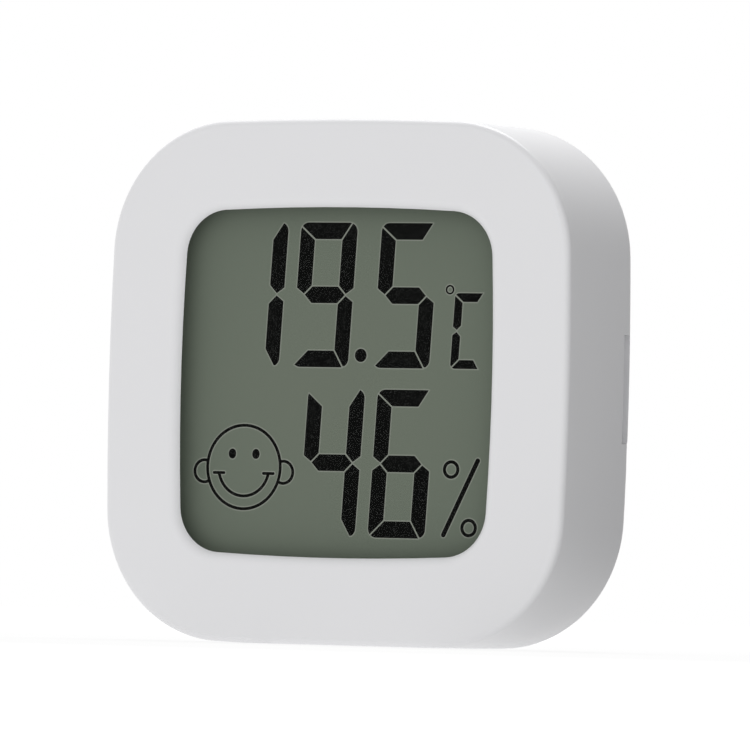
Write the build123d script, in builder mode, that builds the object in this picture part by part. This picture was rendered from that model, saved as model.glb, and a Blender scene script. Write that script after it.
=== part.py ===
from build123d import *
import os

# A small rounded-square thermometer and hygrometer with a reflective LCD and a coin cell.
# The face looks along -Y, +Z is up, and the origin lies under the middle of the case.
# Lengths are millimetres. A depth is measured from the face of the case towards its back.

# Case
case_width = 43.0
case_height = 43.0
side_bow = 0.67  # how far each side bulges between its corners
case_corner_radius = 10.9
front_edge_radius = 0.5
front_wall = 0.8
side_wall = 1.5
cover_edge = 1.9  # from the seam between housing and cover to the back
rear_edge_flat = 0.7  # what the rounding of the rear edge leaves of the cover's edge
foot_flat_depth = 0.1  # taken off the bulge underneath, so that the case stands on a flat
overrun = 1.0  # how far a cut runs past the face it opens

# Window
bezel_width = 7.1  # from the side of the case to the window
bezel_height = 7.31  # the same above and below
window_bow = 0.46
window_corner_radius = 3.7
window_edge_radius = 0.9
window_lip_depth = 0.45  # where the rounding of the window's edge ends and the display begins
window_offset = -0.175  # the window sits this much to the left of the middle

# Pry notches in the two sides of the back cover
notch_length = 8.9
notch_reach = 1.2  # from the seam backwards
notch_depth = 0.7
notch_corner_radius = 0.5

# Display stack, front to back
glass_side_margin = 5.0  # from the side of the case to the front glass
glass_end_margin = 4.2  # the same above and below
glass_thickness = 0.55
glass_corner_chamfer = 1.3
polariser_margin = 0.7  # from the edge of the front glass to the polariser
polariser_thickness = 0.2
cell_gap = 0.1  # between the two glasses
cell_seal_width = 0.6
contact_ledge = 1.9  # how far the front glass stands past the rear one, above and below
rear_glass_inset = 0.3  # the same at the sides
reflector_thickness = 0.25
reflector_margin = 0.15

# Figures on the display, as shares of the window, measured from the middle of the window
slant_share = 0.053
digit_width_share = 0.1834
upper_digit_height_share = 0.4165
lower_digit_height_share = 0.4252
stroke_share = 0.0471
segment_gap_share = 0.0033
upper_baseline_share = 0.0444
lower_baseline_share = -0.4425
upper_digit_shares = ((-0.3836, "bc"), (-0.159, "abcdfg"), (0.1029, "acdfg"))
lower_digit_shares = ((-0.1225, "bcfg"), (0.1024, "acdefg"))
point_place_share = (0.0657, 0.0798)
point_radius_share = 0.0192
degree_place_share = (0.3475, 0.2711)
degree_radius_share = 0.0138
celsius_place_share = (0.354, 0.045)
celsius_width_share = 0.0998
celsius_height_share = 0.2166
celsius_stroke_share = 0.0248
percent_ring_shares = ((0.3661, -0.243), (0.4269, -0.4089))
percent_ring_radius_share = 0.0266
thin_line_share = 0.0095
percent_bar_shares = ((0.4507, -0.2168), (0.3464, -0.4301))
percent_bar_width_share = 0.0138
icon_place_share = (-0.3056, -0.2471)
icon_radius_share = 0.125
ear_radius_share = 0.0363
ear_place_share = (0.1287, -0.0131)
eye_place_share = (0.0385, 0.0383)
eye_radius_share = (0.0117, 0.0146)
smile_radius_share = 0.0837
smile_half_angle = 78.0  # degrees each side of straight down
smile_tick_share = 0.0161
icon_line_share = 0.0087

# Segments of a digit, as shares of their stroke
corner_round_share = 0.55
right_joint_share = 0.35  # from a right corner to where two segments meet on the digit's edge
left_joint_share = 0.2  # the same, down from the upper left corner
shoulder_share = 0.35  # from the middle of a digit to where the outer side of a post begins

# Display frame and zebra strips
frame_clearance = 0.1
frame_rail = 0.5
frame_corner_radius = 2.2
strip_inset = 1.4  # from the side of the rear glass to the end of a strip
strip_rise = 3.4  # from the front glass to the board
strip_thickness = 1.5
strip_clearance = 0.15
frame_bar = 1.0  # reaches in behind the rear glass, above and below

# Circuit board
board_thickness = 1.0
board_clearance = 0.35

# Bosses and screws that hold the board
boss_radius = 1.25
boss_wall_gap = 0.3
boss_offset_z = 8.5
screw_radius = 0.6
screw_length = 3.6
screw_head_radius = 1.1
screw_head_height = 0.7
screw_hole_clearance = 0.1
screw_pilot_depth = 3.0
screw_slot_width = 0.3
screw_slot_depth = 0.3

# Chip under its blob of resin, on the front of the board
blob_radius = 4.0
blob_height = 1.3
blob_edge_radius = 1.1
blob_place_share = (0.0, -0.12)

# Coin cell and its seat
coin_radius = 10.0
coin_thickness = 3.2
coin_edge_radius = 0.35
coin_step_radius = 8.8  # the raised negative face
coin_step_height = 0.25
coin_drop = 2.5  # its centre lies this far below the middle of the face
coin_gap = 0.3
coin_seat_height = 1.4  # from the board to the cell
coin_cover_gap = 0.3
holder_wall = 1.2
holder_rim_drop = 0.6  # from the back of the cell to the rim of its holder
holder_shelf = 1.6  # how far it reaches in under the edge of the cell
holder_seat_gap = 0.15
holder_mouth_width = 9.0
holder_pin_radius = 0.5
holder_pin_length = 0.9
holder_pin_angle = 45.0  # degrees, of the first pin

# Spring contacts
contact_thickness = 0.2
contact_gap = 0.15
negative_width = 4.0
negative_foot = 3.0
negative_reach = 6.5
positive_width = 5.0
positive_foot = 2.0
contact_dip = 0.5  # how far the free end of a contact bends over

# Push switch and the button that works it
switch_size = 4.5
switch_height = 2.6
switch_bore_depth = 1.4
switch_chamfer = 0.3
plunger_radius = 1.2
plunger_rise = 0.7
plunger_overlap = 0.9
plunger_clearance = 0.15
button_place_share = (-0.25, 0.33)  # of the board, as all the places below
button_width = 6.0
button_height = 4.0
button_corner_radius = 1.2
button_edge_radius = 0.3
button_clearance = 0.2
button_recess = 0.25
button_flange = 0.7
button_flange_thickness = 0.5
button_stem_radius = 1.1
button_gap = 0.15

# Sensors and small parts on the back of the board
humidity_place_share = (0.361, 0.244)
humidity_size = (3.6, 5.0)
humidity_height = 1.2
humidity_window_radius = 0.9
humidity_window_depth = 0.35
thermistor_place_share = (0.356, -0.320)
thermistor_radius = 0.8
thermistor_length = 2.6
thermistor_round = 0.6
lead_radius = 0.2
lead_spacing = 1.4
lead_rise = 1.3
crystal_place_share = (0.087, 0.346)
crystal_radius = 1.0
crystal_length = 6.0
crystal_foot = 1.4
crystal_round = 0.3
chip_length = 1.6
chip_width = 0.8
chip_height = 0.5
chip_gap = 2.3  # from the holder to the chips, which stand in a column on each side of it
chip_pitch = 2.0
capacitor_height = 0.8

# Back cover
cover_wall = 1.1
lip_length = 2.0
lip_thickness = 1.0
lip_clearance = 0.15
bump_radius = 0.7
bump_height = 0.25
bump_length = 3.0
bump_setback = 0.9  # from the end of the lip to the middle of a bump
bump_offset = 6.5
socket_clearance = 0.15
vent_count = 5
vent_length = 8.0
vent_width = 1.0
vent_pitch = 2.4
vent_place_share = (0.2, 0.32)

# Places worked out from the sizes above
centre_height = case_height / 2 - foot_flat_depth
window_width = case_width - 2 * bezel_width
window_height = case_height - 2 * bezel_height
glass_width = case_width - 2 * glass_side_margin
glass_height = case_height - 2 * glass_end_margin
front_glass_depth = window_lip_depth + polariser_thickness
figure_depth = front_glass_depth + glass_thickness
rear_glass_depth = figure_depth + cell_gap
reflector_depth = rear_glass_depth + glass_thickness
board_depth = figure_depth + strip_rise
board_rear = board_depth + board_thickness
coin_front = board_rear + coin_seat_height
cover_inside = coin_front + coin_thickness + coin_cover_gap
case_depth = cover_inside + cover_wall
seam_depth = case_depth - cover_edge
rear_edge_radius = cover_edge - rear_edge_flat
holder_inner = coin_radius + coin_gap
holder_outer = holder_inner + holder_wall
holder_height = coin_seat_height + coin_thickness - holder_rim_drop
holder_pin_circle = holder_inner + holder_wall / 2
switch_rear = board_rear + switch_height
plunger_tip = switch_rear + plunger_rise
inner_width = case_width - 2 * side_wall
inner_height = case_height - 2 * side_wall
boss_offset_x = inner_width / 2 - boss_wall_gap - boss_radius
boss_places = [(x * boss_offset_x, z * boss_offset_z) for x in (-1, 1) for z in (-1, 1)]
board_width = inner_width - 2 * board_clearance
board_height = inner_height - 2 * board_clearance


def across(depth, x=0.0, z=0.0):
    """Plane parallel to the face, seen from the front, at a depth and a place on the face."""
    origin = (x, depth - case_depth / 2, centre_height + z)
    return Plane(origin=origin, x_dir=(1, 0, 0), z_dir=(0, -1, 0))


def bowed_square(width, height, bow, corner_radius):
    """Rounded square whose four sides bulge outwards."""
    side, top = width / 2, height / 2
    with BuildSketch() as outline:
        with BuildLine():
            ThreePointArc((bow - side, bow - top), (0, -top), (side - bow, bow - top))
            ThreePointArc((side - bow, bow - top), (side, 0), (side - bow, top - bow))
            ThreePointArc((side - bow, top - bow), (0, top), (bow - side, top - bow))
            ThreePointArc((bow - side, top - bow), (-side, 0), (bow - side, bow - top))
        make_face()
        fillet(outline.vertices(), corner_radius)
    return outline.sketch


def case_outline(inset):
    """Outline of the case, drawn in on every side."""
    width, height = case_width - 2 * inset, case_height - 2 * inset
    return bowed_square(width, height, side_bow, case_corner_radius - inset)


def outer_outline():
    """Outline of the outside of the case, with the flat that it stands on."""
    with BuildSketch() as outline:
        add(case_outline(0))
        with Locations((0, -case_height / 2)):
            Rectangle(case_width, 2 * foot_flat_depth, mode=Mode.SUBTRACT)
    return outline.sketch


def glass_plate(width, height, inset=0.0):
    """Rectangle of glass with its corners cut off."""
    with BuildSketch() as plate:
        Rectangle(width - 2 * inset, height - 2 * inset)
        chamfer(plate.vertices(), glass_corner_chamfer)
    return plate.sketch


def finish(piece, name):
    """Labels a finished piece and writes it to its own file."""
    piece.part.label = name
    export_step(piece.part, f"parts/{name}.step")


os.makedirs("parts", exist_ok=True)

# Front housing: a cup with the window and the seat of the display in its floor, and four bosses
with BuildPart() as front_housing:
    with BuildSketch(across(0)):
        add(outer_outline())
    extrude(amount=-seam_depth)
    fillet(front_housing.faces().sort_by(Axis.Y)[0].outer_wire().edges(), front_edge_radius)
    with BuildSketch(across(0, window_offset)):
        add(bowed_square(window_width, window_height, window_bow, window_corner_radius))
    extrude(amount=-seam_depth, mode=Mode.SUBTRACT)
    face_of_case = front_housing.faces().sort_by(Axis.Y)[0]
    fillet(face_of_case.inner_wires()[0].edges(), window_edge_radius)
    with BuildSketch(across(window_lip_depth)):
        add(glass_plate(glass_width, glass_height, -frame_clearance))
    extrude(amount=window_lip_depth - front_wall, mode=Mode.SUBTRACT)
    with BuildSketch(across(front_wall)):
        add(case_outline(side_wall))
    extrude(amount=front_wall - seam_depth, mode=Mode.SUBTRACT)
    with BuildSketch(across(front_wall)):
        with Locations(boss_places):
            Circle(boss_radius)
    extrude(amount=front_wall - board_depth)
    with BuildSketch(across(board_depth)):
        with Locations(boss_places):
            Circle(screw_radius)
    extrude(amount=screw_pilot_depth, mode=Mode.SUBTRACT)
    # Sockets for the bumps of the cover's lip, open at the seam
    for side in (-1, 1):
        with BuildSketch(across(seam_depth)):
            with Locations([(side * inner_width / 2, z * bump_offset) for z in (-1, 1)]):
                Rectangle(2 * (bump_height + socket_clearance), bump_length + 2 * socket_clearance)
        extrude(amount=lip_length, mode=Mode.SUBTRACT)
finish(front_housing, "front_housing")

# The display stack, each layer face to face with the next
with BuildPart() as front_polariser:
    with BuildSketch(across(window_lip_depth)):
        add(glass_plate(glass_width, glass_height, polariser_margin))
    extrude(amount=-polariser_thickness)
finish(front_polariser, "front_polariser")

with BuildPart() as lcd_front_glass:
    with BuildSketch(across(front_glass_depth)):
        add(glass_plate(glass_width, glass_height))
    extrude(amount=-glass_thickness)
finish(lcd_front_glass, "lcd_front_glass")

rear_glass_width = glass_width - 2 * rear_glass_inset
rear_glass_height = glass_height - 2 * contact_ledge

with BuildPart() as lcd_cell_seal:
    with BuildSketch(across(figure_depth)):
        Rectangle(rear_glass_width, rear_glass_height)
        Rectangle(
            rear_glass_width - 2 * cell_seal_width,
            rear_glass_height - 2 * cell_seal_width,
            mode=Mode.SUBTRACT,
        )
    extrude(amount=-cell_gap)
finish(lcd_cell_seal, "lcd_cell_seal")

with BuildPart() as lcd_rear_glass:
    with BuildSketch(across(rear_glass_depth)):
        Rectangle(rear_glass_width, rear_glass_height)
    extrude(amount=-glass_thickness)
finish(lcd_rear_glass, "lcd_rear_glass")

with BuildPart() as lcd_reflector:
    with BuildSketch(across(reflector_depth)):
        Rectangle(rear_glass_width - 2 * reflector_margin, rear_glass_height - 2 * reflector_margin)
    extrude(amount=-reflector_thickness)
finish(lcd_reflector, "lcd_reflector")


# Figures. Digits are made of seven segments, a at the top, clockwise to f, with g in the middle.
stroke = stroke_share * window_width
segment_gap = segment_gap_share * window_width


def segment_points(name, width, height, thick):
    """Corners of one segment of an upright digit whose lower left corner is at zero."""
    half, gap, middle = thick / 2, segment_gap, height / 2
    inset, drop = right_joint_share * thick, left_joint_share * thick
    if name == "g":
        left = [(thick + gap, middle - half), (half + gap, middle), (thick + gap, middle + half)]
        return left + [(width - x, z) for x, z in reversed(left)]
    bar = [(width - inset - gap, 0), (width - thick - gap, thick), (thick + gap, thick)]
    post = [
        (thick, thick + gap),
        (thick, middle - half - gap),
        (half, middle - gap),
        (0, middle - shoulder_share * thick - gap),
    ]
    points = {
        "a": bar + [(gap, drop), (gap, 0)],
        "b": post + [(0, gap), (inset, gap)],
        "c": post + [(0, gap), (inset, gap)],
        "d": bar + [(gap, 0)],
        "e": post + [(0, gap)],
        "f": post + [(0, drop + gap)],
    }[name]
    if name in "abf":
        points = [(x, height - z) for x, z in points]
    return [(width - x, z) for x, z in points] if name in "bc" else points


def leaning_face(points, left, bottom):
    """Face whose corners lean to the right the higher they lie."""
    with BuildSketch() as face:
        with BuildLine():
            Polyline([(left + x + z * slant_share, bottom + z) for x, z in points], close=True)
        make_face()
    return face.sketch


def digit(names, left, bottom, width, height, thick):
    """Faces of the named segments of a leaning digit with round outer corners."""
    with BuildSketch() as block:
        add(leaning_face([(0, 0), (width, 0), (width, height), (0, height)], left, bottom))
        fillet(block.vertices(), corner_round_share * thick)
    with BuildSketch() as segments:
        for name in names:
            add(leaning_face(segment_points(name, width, height, thick), left, bottom))
        add(block.sketch, mode=Mode.INTERSECT)
    return segments.sketch


def placed(share):
    """Place on the window from a pair of shares of its width and height."""
    return share[0] * window_width, share[1] * window_height


figure_plane = across(figure_depth, window_offset)
digit_width = digit_width_share * window_width
upper_digit_height = upper_digit_height_share * window_height
lower_digit_height = lower_digit_height_share * window_height
thin_line = thin_line_share * window_height

with BuildPart() as temperature_digits:
    with BuildSketch(figure_plane):
        for left_share, names in upper_digit_shares:
            left, bottom = placed((left_share, upper_baseline_share))
            add(digit(names, left, bottom, digit_width, upper_digit_height, stroke))
        with Locations(placed(point_place_share)):
            Circle(point_radius_share * window_height)
    extrude(amount=-cell_gap)
finish(temperature_digits, "temperature_digits")

with BuildPart() as humidity_digits:
    with BuildSketch(figure_plane):
        for left_share, names in lower_digit_shares:
            left, bottom = placed((left_share, lower_baseline_share))
            add(digit(names, left, bottom, digit_width, lower_digit_height, stroke))
    extrude(amount=-cell_gap)
finish(humidity_digits, "humidity_digits")

with BuildPart() as unit_marks:
    with BuildSketch(figure_plane):
        left, bottom = placed(celsius_place_share)
        celsius_width = celsius_width_share * window_width
        celsius_height = celsius_height_share * window_height
        thick = celsius_stroke_share * window_width
        add(digit("adef", left, bottom, celsius_width, celsius_height, thick))
        with Locations(placed(degree_place_share)):
            Circle(degree_radius_share * window_height)
            Circle(degree_radius_share * window_height - thin_line / 2, mode=Mode.SUBTRACT)
        percent_radius = percent_ring_radius_share * window_height
        with Locations([placed(share) for share in percent_ring_shares]):
            Circle(percent_radius)
            Circle(percent_radius - thin_line, mode=Mode.SUBTRACT)
        percent_bar = Edge.make_line(*[placed(share) for share in percent_bar_shares])
        SlotArc(percent_bar, percent_bar_width_share * window_width)
    extrude(amount=-cell_gap)
finish(unit_marks, "unit_marks")


def smiling_face():
    """Plain comfort face: a round head with ears, two oval eyes and a smile."""
    line = icon_line_share * window_height
    head = icon_radius_share * window_height
    ear = ear_radius_share * window_height
    smile = smile_radius_share * window_height
    tick = smile_tick_share * window_height
    ear_x, ear_z = placed(ear_place_share)
    eye_x, eye_z = placed(eye_place_share)
    eye_across, eye_up = placed(eye_radius_share)
    with BuildSketch() as face:
        with Locations((-ear_x, ear_z), (ear_x, ear_z)):
            Circle(ear)
            Circle(ear - line, mode=Mode.SUBTRACT)
        Circle(head)
        Circle(head - line, mode=Mode.SUBTRACT)
        with Locations((-eye_x, eye_z), (eye_x, eye_z)):
            Ellipse(eye_across, eye_up)
        mouth = Edge.make_circle(
            smile, start_angle=270 - smile_half_angle, end_angle=270 + smile_half_angle
        )
        SlotArc(mouth, line)
        for end in (mouth @ 0, mouth @ 1):
            SlotArc(Edge.make_line(end - Vector(tick, 0), end + Vector(tick, 0)), line)
    return face.sketch


with BuildPart() as comfort_icon:
    with BuildSketch(figure_plane):
        with Locations(placed(icon_place_share)):
            add(smiling_face())
    extrude(amount=-cell_gap)
finish(comfort_icon, "comfort_icon")


# Frame that holds the glass against the window and the board off the glass
frame_edge = frame_clearance + frame_rail
strip_height = glass_height / 2 - contact_ledge / 2  # of a strip above the middle of the glass
strip_length = rear_glass_width - 2 * strip_inset

with BuildPart() as lcd_frame:
    with BuildSketch(across(front_wall)) as frame_outline:
        Rectangle(glass_width + 2 * frame_edge, glass_height + 2 * frame_edge)
        fillet(frame_outline.vertices(), frame_corner_radius)
    extrude(amount=front_wall - board_depth)
    with BuildSketch(across(front_wall)):
        add(glass_plate(glass_width, glass_height, -frame_clearance))
    extrude(amount=front_wall - figure_depth, mode=Mode.SUBTRACT)
    with BuildSketch(across(figure_depth)):
        Rectangle(rear_glass_width + 2 * frame_clearance, rear_glass_height + 2 * frame_clearance)
    extrude(amount=figure_depth - reflector_depth - reflector_thickness, mode=Mode.SUBTRACT)
    with BuildSketch(across(figure_depth)):
        Rectangle(rear_glass_width + 2 * frame_clearance, rear_glass_height - 2 * frame_bar)
        with Locations((0, strip_height), (0, -strip_height)):
            Rectangle(strip_length + 2 * strip_clearance, strip_thickness + 2 * strip_clearance)
    extrude(amount=-strip_rise, mode=Mode.SUBTRACT)
finish(lcd_frame, "lcd_frame")

# Rubber strips that lead from the ledges of the front glass to the board
for height, name in ((strip_height, "upper_zebra_strip"), (-strip_height, "lower_zebra_strip")):
    with BuildPart() as zebra_strip:
        with BuildSketch(across(figure_depth, 0, height)):
            Rectangle(strip_length, strip_thickness)
        extrude(amount=-strip_rise)
    finish(zebra_strip, name)


def board_place(share):
    """Place on the board from a pair of shares of its width and height."""
    return share[0] * board_width, share[1] * board_height


# Circuit board, with holes for its screws and for the pins of the cell holder
with BuildPart() as circuit_board:
    with BuildSketch(across(board_depth)):
        add(case_outline(side_wall + board_clearance))
        with Locations(boss_places):
            Circle(screw_radius + screw_hole_clearance, mode=Mode.SUBTRACT)
        with Locations((0, -coin_drop)):
            with PolarLocations(holder_pin_circle, 2, holder_pin_angle):
                Circle(holder_pin_radius, mode=Mode.SUBTRACT)
    extrude(amount=-board_thickness)
finish(circuit_board, "circuit_board")

with BuildPart() as board_screws:
    with BuildSketch(across(board_rear)):
        with Locations(boss_places):
            Circle(screw_head_radius)
            Rectangle(2 * screw_head_radius, screw_slot_width, mode=Mode.SUBTRACT)
    extrude(amount=-screw_head_height)
    with BuildSketch(across(board_rear)):
        with Locations(boss_places):
            Circle(screw_head_radius)
    extrude(amount=screw_slot_depth - screw_head_height)
    with BuildSketch(across(board_rear)):
        with Locations(boss_places):
            Circle(screw_radius)
    extrude(amount=screw_length)
finish(board_screws, "board_screws")

# Chip on the front of the board, under a flat dome of resin
with BuildPart() as controller_blob:
    with BuildSketch(across(board_depth, *board_place(blob_place_share))):
        Circle(blob_radius)
    extrude(amount=blob_height)
    fillet(controller_blob.faces().sort_by(Axis.Y)[0].edges(), blob_edge_radius)
finish(controller_blob, "controller_blob")


# Coin cell, its negative face towards the board
with BuildPart() as coin_cell:
    with BuildSketch(across(coin_front, 0, -coin_drop)):
        Circle(coin_step_radius)
    extrude(amount=-coin_step_height)
    with BuildSketch(across(coin_front + coin_step_height, 0, -coin_drop)):
        Circle(coin_radius)
    extrude(amount=coin_step_height - coin_thickness)
    fillet(coin_cell.faces().sort_by(Axis.Y)[-1].edges(), coin_edge_radius)
finish(coin_cell, "coin_cell")

# Round holder that stands on the board, open on one side for the positive contact
shelf_height = coin_seat_height - holder_seat_gap

with BuildPart() as battery_holder:
    with BuildSketch(across(board_rear, 0, -coin_drop)):
        Circle(holder_outer)
        Circle(coin_radius - holder_shelf, mode=Mode.SUBTRACT)
    extrude(amount=-shelf_height)
    with BuildSketch(across(board_rear, 0, -coin_drop)):
        Circle(holder_outer)
        Circle(holder_inner, mode=Mode.SUBTRACT)
    extrude(amount=-holder_height)
    with BuildSketch(across(board_rear, 0, -coin_drop)):
        with Locations((holder_outer, 0)):
            Rectangle(2 * (holder_wall + coin_gap + holder_shelf + overrun), holder_mouth_width)
    extrude(amount=-holder_height, mode=Mode.SUBTRACT)
    with BuildSketch(across(board_rear, 0, -coin_drop)):
        with PolarLocations(holder_pin_circle, 2, holder_pin_angle):
            Circle(holder_pin_radius)
    extrude(amount=holder_pin_length)
finish(battery_holder, "battery_holder")


# Spring contacts, bent from strip
coin_height = centre_height - coin_drop
strip_middle = contact_thickness / 2
board_back_y = board_rear - case_depth / 2
negative_top_y = coin_front - contact_gap - strip_middle - case_depth / 2
positive_tip_y = board_back_y + coin_seat_height + coin_thickness / 2

with BuildPart() as negative_contact:
    with BuildSketch(Plane.YZ):
        with BuildLine() as bend:
            Polyline(
                (board_back_y + strip_middle, coin_height - negative_reach),
                (board_back_y + strip_middle, coin_height - negative_reach + negative_foot),
                (negative_top_y, coin_height + negative_foot / 2),
                (negative_top_y, coin_height + negative_foot),
                (negative_top_y - contact_dip, coin_height + negative_foot + contact_dip),
            )
        trace(bend.wires(), contact_thickness)
    extrude(amount=negative_width / 2, both=True)
finish(negative_contact, "negative_contact")

with BuildPart() as positive_contact:
    with BuildSketch(Plane.XY.offset(coin_height)):
        with BuildLine() as bend:
            Polyline(
                (coin_radius + contact_gap + positive_foot, board_back_y + strip_middle),
                (coin_radius + contact_gap + strip_middle, board_back_y + strip_middle),
                (coin_radius + contact_gap + strip_middle, positive_tip_y),
                (coin_radius + contact_gap + strip_middle + contact_dip, positive_tip_y + contact_dip),
            )
        trace(bend.wires(), contact_thickness)
    extrude(amount=positive_width / 2, both=True)
finish(positive_contact, "positive_contact")


# Push switch on the board, and its plunger
button_x, button_z = board_place(button_place_share)

with BuildPart() as switch_body:
    with BuildSketch(across(board_rear, button_x, button_z)):
        Rectangle(switch_size, switch_size)
    extrude(amount=-switch_height)
    chamfer(switch_body.faces().sort_by(Axis.Y)[-1].edges(), switch_chamfer)
    with BuildSketch(across(switch_rear, button_x, button_z)):
        Circle(plunger_radius + plunger_clearance)
    extrude(amount=switch_bore_depth, mode=Mode.SUBTRACT)
finish(switch_body, "switch_body")

with BuildPart() as switch_plunger:
    with BuildSketch(across(switch_rear - plunger_overlap, button_x, button_z)):
        Circle(plunger_radius)
    extrude(amount=-plunger_overlap - plunger_rise)
finish(switch_plunger, "switch_plunger")

# Button for the units, captive behind the cover by its flange
flange_rear = cover_inside - button_clearance

with BuildPart() as unit_button:
    with BuildSketch(across(flange_rear, button_x, button_z)) as cap:
        Rectangle(button_width, button_height)
        fillet(cap.vertices(), button_corner_radius)
    extrude(amount=flange_rear + button_recess - case_depth)
    fillet(unit_button.faces().sort_by(Axis.Y)[-1].edges(), button_edge_radius)
    with BuildSketch(across(flange_rear, button_x, button_z)) as flange:
        Rectangle(button_width + 2 * button_flange, button_height + 2 * button_flange)
        fillet(flange.vertices(), button_corner_radius)
    extrude(amount=button_flange_thickness)
    with BuildSketch(across(flange_rear - button_flange_thickness, button_x, button_z)):
        Circle(button_stem_radius)
    extrude(amount=flange_rear - button_flange_thickness - plunger_tip - button_gap)
finish(unit_button, "unit_button")


# Sensors and small parts on the back of the board
with BuildPart() as humidity_sensor:
    with BuildSketch(across(board_rear, *board_place(humidity_place_share))):
        Rectangle(*humidity_size)
    extrude(amount=-humidity_height)
    with BuildSketch(across(board_rear + humidity_height, *board_place(humidity_place_share))):
        Circle(humidity_window_radius)
    extrude(amount=humidity_window_depth, mode=Mode.SUBTRACT)
finish(humidity_sensor, "humidity_sensor")

bead_x, bead_z = board_place(thermistor_place_share)

with BuildPart() as thermistor:
    with BuildSketch(Plane.XY.offset(centre_height + bead_z)):
        with Locations((bead_x, board_back_y + lead_rise + thermistor_radius)):
            Circle(thermistor_radius)
    extrude(amount=thermistor_length / 2, both=True)
    fillet(thermistor.edges().filter_by(GeomType.CIRCLE), thermistor_round)
    with BuildSketch(across(board_rear, bead_x, bead_z)):
        with Locations((0, lead_spacing / 2), (0, -lead_spacing / 2)):
            Circle(lead_radius)
    extrude(amount=-lead_rise - thermistor_radius)
finish(thermistor, "thermistor")

can_x, can_z = board_place(crystal_place_share)
can_end = can_x - crystal_length / 2

with BuildPart() as timing_crystal:
    with BuildSketch(Plane.YZ.offset(can_end)):
        with Locations((board_back_y + crystal_radius, centre_height + can_z)):
            Circle(crystal_radius)
    extrude(amount=crystal_length)
    fillet(timing_crystal.faces().sort_by(Axis.X)[-1].edges(), crystal_round)
    with BuildSketch(Plane.YZ.offset(can_end)):
        for side in (-1, 1):
            with Locations(
                (board_back_y + crystal_radius, centre_height + can_z + side * lead_spacing / 2)
            ):
                Circle(lead_radius)
    extrude(amount=-crystal_foot)
    with BuildSketch(across(board_rear, can_end - crystal_foot, can_z)):
        with Locations((0, lead_spacing / 2), (0, -lead_spacing / 2)):
            Circle(lead_radius)
    extrude(amount=-crystal_radius)
finish(timing_crystal, "timing_crystal")

chip_column = holder_outer + chip_gap + chip_length / 2
resistor_places = [(-chip_column, step * chip_pitch) for step in (3, 2, 1, 0)]
resistor_places += [(chip_column, step * chip_pitch) for step in (2, 1)]
capacitor_places = [(-chip_column, step * chip_pitch) for step in (-2, -3)]
capacitor_places += [(chip_column, step * chip_pitch) for step in (-2, -3)]

for places, height, name in (
    (resistor_places, chip_height, "chip_resistors"),
    (capacitor_places, capacitor_height, "chip_capacitors"),
):
    with BuildPart() as chips:
        with BuildSketch(across(board_rear)):
            with Locations(places):
                Rectangle(chip_length, chip_width)
        extrude(amount=-height)
    finish(chips, name)


# Back cover: a plate with a rounded rear edge and a lip that plugs into the front housing
lip_start = seam_depth - lip_length
bump_x = inner_width / 2 - lip_clearance + bump_height - bump_radius

with BuildPart() as back_cover:
    with BuildSketch(across(seam_depth)):
        add(outer_outline())
    extrude(amount=seam_depth - case_depth)
    fillet(back_cover.faces().sort_by(Axis.Y)[-1].edges(), rear_edge_radius)
    with BuildSketch(across(lip_start)):
        add(case_outline(side_wall + lip_clearance))
    extrude(amount=-lip_length)
    for side in (-1, 1):
        for end in (-1, 1):
            with BuildSketch(Plane.XY.offset(centre_height + end * bump_offset)):
                with Locations((side * bump_x, lip_start + bump_setback - case_depth / 2)):
                    Circle(bump_radius)
            extrude(amount=bump_length / 2, both=True)
    with BuildSketch(across(lip_start)):
        add(case_outline(side_wall + lip_clearance + lip_thickness))
    extrude(amount=lip_start - cover_inside, mode=Mode.SUBTRACT)
    with BuildSketch(across(cover_inside)):
        with Locations((button_x, button_z)):
            RectangleRounded(
                button_width + 2 * button_clearance,
                button_height + 2 * button_clearance,
                button_corner_radius + button_clearance,
            )
        with Locations(board_place(vent_place_share)):
            with GridLocations(vent_pitch, 0, vent_count, 1):
                SlotOverall(vent_length, vent_width, rotation=90)
    extrude(amount=-cover_wall, mode=Mode.SUBTRACT)
    # Pry notches: slots behind the seam in which a nail gets hold of the rim of the cover
    for side in (-1, 1):
        with BuildSketch(Plane.YZ.offset(side * (case_width / 2 - notch_depth))) as notch:
            with Locations((seam_depth - case_depth / 2, centre_height)):
                Rectangle(2 * notch_reach, notch_length)
            fillet(notch.vertices(), notch_corner_radius)
        extrude(amount=side * (notch_depth + overrun), mode=Mode.SUBTRACT)
finish(back_cover, "back_cover")
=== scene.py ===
"""Dresses a rounded-square room thermometer and hygrometer, and sets its studio round it.

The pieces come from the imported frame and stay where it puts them. This script gives each of them
its finish, adds the fine pieces that they carry, and sets the floor, the lamp and the camera.
Lengths are metres in the frame, written as millimetres times MM. The face looks along -Y.
"""

from __future__ import annotations

import logging
import math
from collections.abc import Sequence
from dataclasses import dataclass
from enum import Enum
from typing import Protocol

import bmesh
import bpy
from mathutils import Matrix, Vector

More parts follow.
